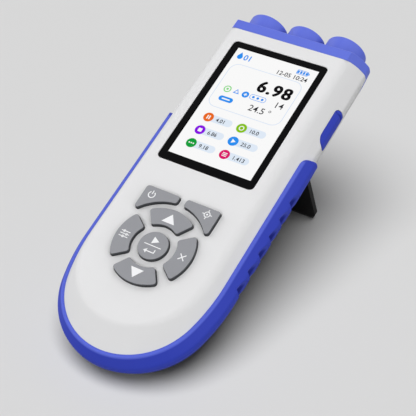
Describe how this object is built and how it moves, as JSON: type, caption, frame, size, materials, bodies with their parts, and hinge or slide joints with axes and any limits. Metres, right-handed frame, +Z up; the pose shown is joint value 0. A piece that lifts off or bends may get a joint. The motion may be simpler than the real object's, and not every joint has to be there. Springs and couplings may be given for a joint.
{
  "type": "handheld water quality meter",
  "caption": "Handheld multiparameter water quality meter with a colour screen, round keypad, blue bumper band, probe sockets in collars and an open kickstand.",
  "frame": {"origin": "on the table, below the middle of the bounding box of the meter as it stands on its open kickstand", "axes": "+X to the right of a reader of the screen, +Y from the rounded nose towards the sockets, +Z up; the face leans back 22.80 degrees"},
  "size_m": [0.0884, 0.2022, 0.102],
  "materials": {
    "casing": "satin moulded, off-white",
    "casing_cap": "satin moulded, blue",
    "band": "matte overmoulded elastomer, blue",
    "seal": "matte",
    "lens": "polished clear",
    "black_mask": "matte black print",
    "display": "lit panel",
    "tray": "matte",
    "ribbon": "polyimide",
    "board": "solder mask, satin",
    "chip": "matte",
    "switch": "matte",
    "battery": "foil pouch",
    "foam": "open foam",
    "nickel": "nickel plated, satin",
    "insulator": "matte",
    "gold": "plated",
    "steel": "zinc plated",
    "black_plastic": "matte",
    "foot_rubber": "matte",
    "key": "satin, silver-grey top on dark walls"
  },
  "bodies": {
    "case": {"front_cover": "casing", "rear_cover": "casing", "bumper_band": "band", "end_cap": "casing_cap", "case_seal": "seal", "screen_lens": "lens", "lens_gasket": "black_mask", "display_module": "display", "display_tray": "tray", "display_ribbon": "ribbon", "main_board": "board", "board_chips": "chip", "key_switches": "switch", "buzzer": "chip", "board_screws": "steel", "battery_pack": "battery", "battery_pad": "foam", "sensor_board": "board", "bnc_socket_left": "nickel", "bnc_socket_right": "nickel", "bnc_insulators": "insulator", "pin_socket": "nickel", "pin_socket_insulator": "black_plastic", "socket_contacts": "gold", "socket_nuts": "nickel", "socket_washers": "steel", "usb_board": "board", "usb_receptacle": "steel", "usb_cover_anchor": "band", "stand_pins": "steel", "case_screws": "steel", "rear_feet": "foot_rubber"},
    "key_enter": {"key_enter": "key"},
    "key_esc": {"key_esc": "key"},
    "key_up": {"key_up": "key"},
    "key_set": {"key_set": "key"},
    "key_down": {"key_down": "key"},
    "key_cal": {"key_cal": "key"},
    "key_power": {"key_power": "key"},
    "usb_cover": {"usb_cover": "band"},
    "stand": {"kickstand": "black_plastic", "stand_foot": "foot_rubber"}
  },
  "joints": [
    {"name": "key_enter_press", "type": "slide", "parent": "case", "child": "key_enter", "axis": [0, 0.3875, -0.9219], "range_m": [0, 0.001], "stiffness_N_per_m": 1000, "springref_m": -0.0005},
    {"name": "key_esc_press", "type": "slide", "parent": "case", "child": "key_esc", "axis": [0, 0.3875, -0.9219], "range_m": [0, 0.001], "stiffness_N_per_m": 1000, "springref_m": -0.0005},
    {"name": "key_up_press", "type": "slide", "parent": "case", "child": "key_up", "axis": [0, 0.3875, -0.9219], "range_m": [0, 0.001], "stiffness_N_per_m": 1000, "springref_m": -0.0005},
    {"name": "key_set_press", "type": "slide", "parent": "case", "child": "key_set", "axis": [0, 0.3875, -0.9219], "range_m": [0, 0.001], "stiffness_N_per_m": 1000, "springref_m": -0.0005},
    {"name": "key_down_press", "type": "slide", "parent": "case", "child": "key_down", "axis": [0, 0.3875, -0.9219], "range_m": [0, 0.001], "stiffness_N_per_m": 1000, "springref_m": -0.0005},
    {"name": "key_cal_press", "type": "slide", "parent": "case", "child": "key_cal", "axis": [0, 0.3875, -0.9219], "range_m": [0, 0.001], "stiffness_N_per_m": 1000, "springref_m": -0.0005},
    {"name": "key_power_press", "type": "slide", "parent": "case", "child": "key_power", "axis": [0, 0.3875, -0.9219], "range_m": [0, 0.001], "stiffness_N_per_m": 1000, "springref_m": -0.0005},
    {"name": "usb_cover_hinge", "type": "hinge", "parent": "case", "child": "usb_cover", "pos_m": [0.0415, 0.05595, 0.07661], "axis": [0, -0.3875, 0.9219], "range_deg": [0, 100]},
    {"name": "stand_fold", "type": "hinge", "parent": "case", "child": "stand", "pos_m": [0, 0.04257, 0.05656], "axis": [-1, 0, 0], "range_deg": [0, 90]}
  ]
}
